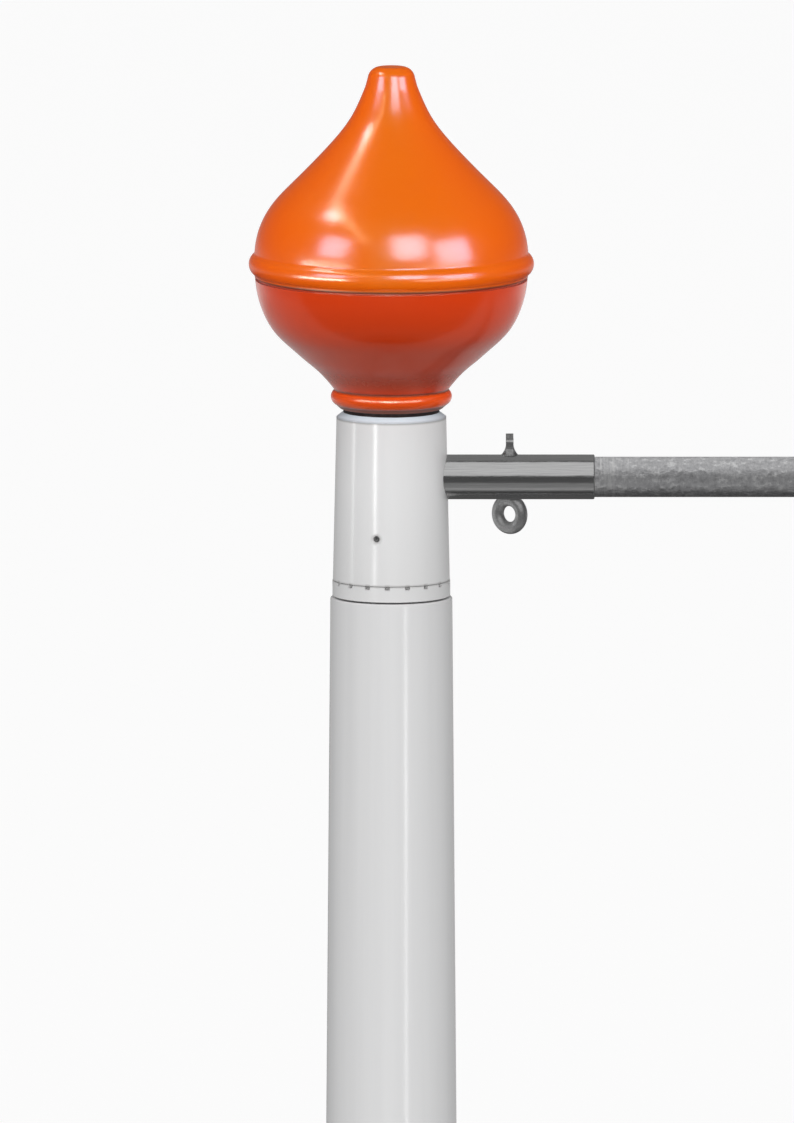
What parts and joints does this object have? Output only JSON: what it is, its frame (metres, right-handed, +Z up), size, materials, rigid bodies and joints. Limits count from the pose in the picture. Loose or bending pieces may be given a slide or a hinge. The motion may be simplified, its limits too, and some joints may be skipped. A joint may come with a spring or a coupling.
{
  "type": "tilting banner flagpole",
  "caption": "White tapering flagpole with a hinged three-bolt base, a swivelling head with a banner arm and an onion finial.",
  "frame": {"origin": "on the mast's axis at the underside of the lower base plate, at ground level", "axes": "+Z up along the mast, +X along the banner arm at rest, base hinge on the -X side with its pin along Y"},
  "size_m": [1.107, 0.224, 5.9994],
  "materials": {
    "galvanised_plate": "hot-dip galvanised, weathered",
    "zinc_fastener": "bright zinc",
    "mast_gelcoat": "white gelcoat on glass-fibre, satin gloss",
    "head_plastic": "white moulded plastic, satin",
    "bearing_plastic": "machined acetal",
    "finial_plastic": "orange moulded plastic, glossy",
    "black_plastic": "matt black moulded",
    "grey_plastic": "moulded grey",
    "stainless": "polished stainless steel",
    "arm_aluminium": "grainy mill finish",
    "seal_rubber": "black rubber"
  },
  "bodies": {
    "base": {"lower_plate": "galvanised_plate", "hinge_bolt": "zinc_fastener", "hinge_nut": "zinc_fastener", "ground_studs": "zinc_fastener", "clamp_washers": "zinc_fastener", "clamp_nuts": "zinc_fastener", "levelling_nuts": "zinc_fastener", "levelling_washers": "zinc_fastener"},
    "mast": {"upper_plate": "galvanised_plate", "mast_tube": "mast_gelcoat", "foot_spigot": "galvanised_plate", "foot_ring": "galvanised_plate", "foot_screws": "zinc_fastener", "mast_top_plug": "bearing_plastic", "swivel_bolt": "zinc_fastener", "thrust_washer": "black_plastic"},
    "nuts": {"stud_washers": "zinc_fastener", "stud_nuts": "zinc_fastener", "stud_caps": "black_plastic"},
    "head": {"head_lower_bush": "head_plastic", "head_sleeve": "head_plastic", "head_upper_bush": "head_plastic", "set_screws": "stainless", "arm_socket": "stainless", "arm_tube": "arm_aluminium", "arm_end_plug": "grey_plastic", "eye_bolt": "stainless", "wing_nut": "stainless", "finial_gasket": "seal_rubber", "finial_bowl": "finial_plastic", "finial_dome": "finial_plastic", "finial_stud": "zinc_fastener", "finial_nut": "zinc_fastener"}
  },
  "joints": [
    {"name": "mast_tilt", "type": "hinge", "parent": "base", "child": "mast", "pos_m": [-0.09, 0, 0.03695], "axis": [0, -1, 0], "range_deg": [0, 90]},
    {"name": "nuts_lift", "type": "slide", "parent": "base", "child": "nuts", "axis": [0, 0, 1], "range_m": [0, 0.39]},
    {"name": "head_swivel", "type": "hinge", "parent": "mast", "child": "head", "pos_m": [0, 0, 5.735], "axis": [0, 0, 1], "continuous": true}
  ],
  "couplings": [
    {"joint": "nuts_lift", "follows": "mast_tilt", "m_per_rad": 0.245}
  ]
}
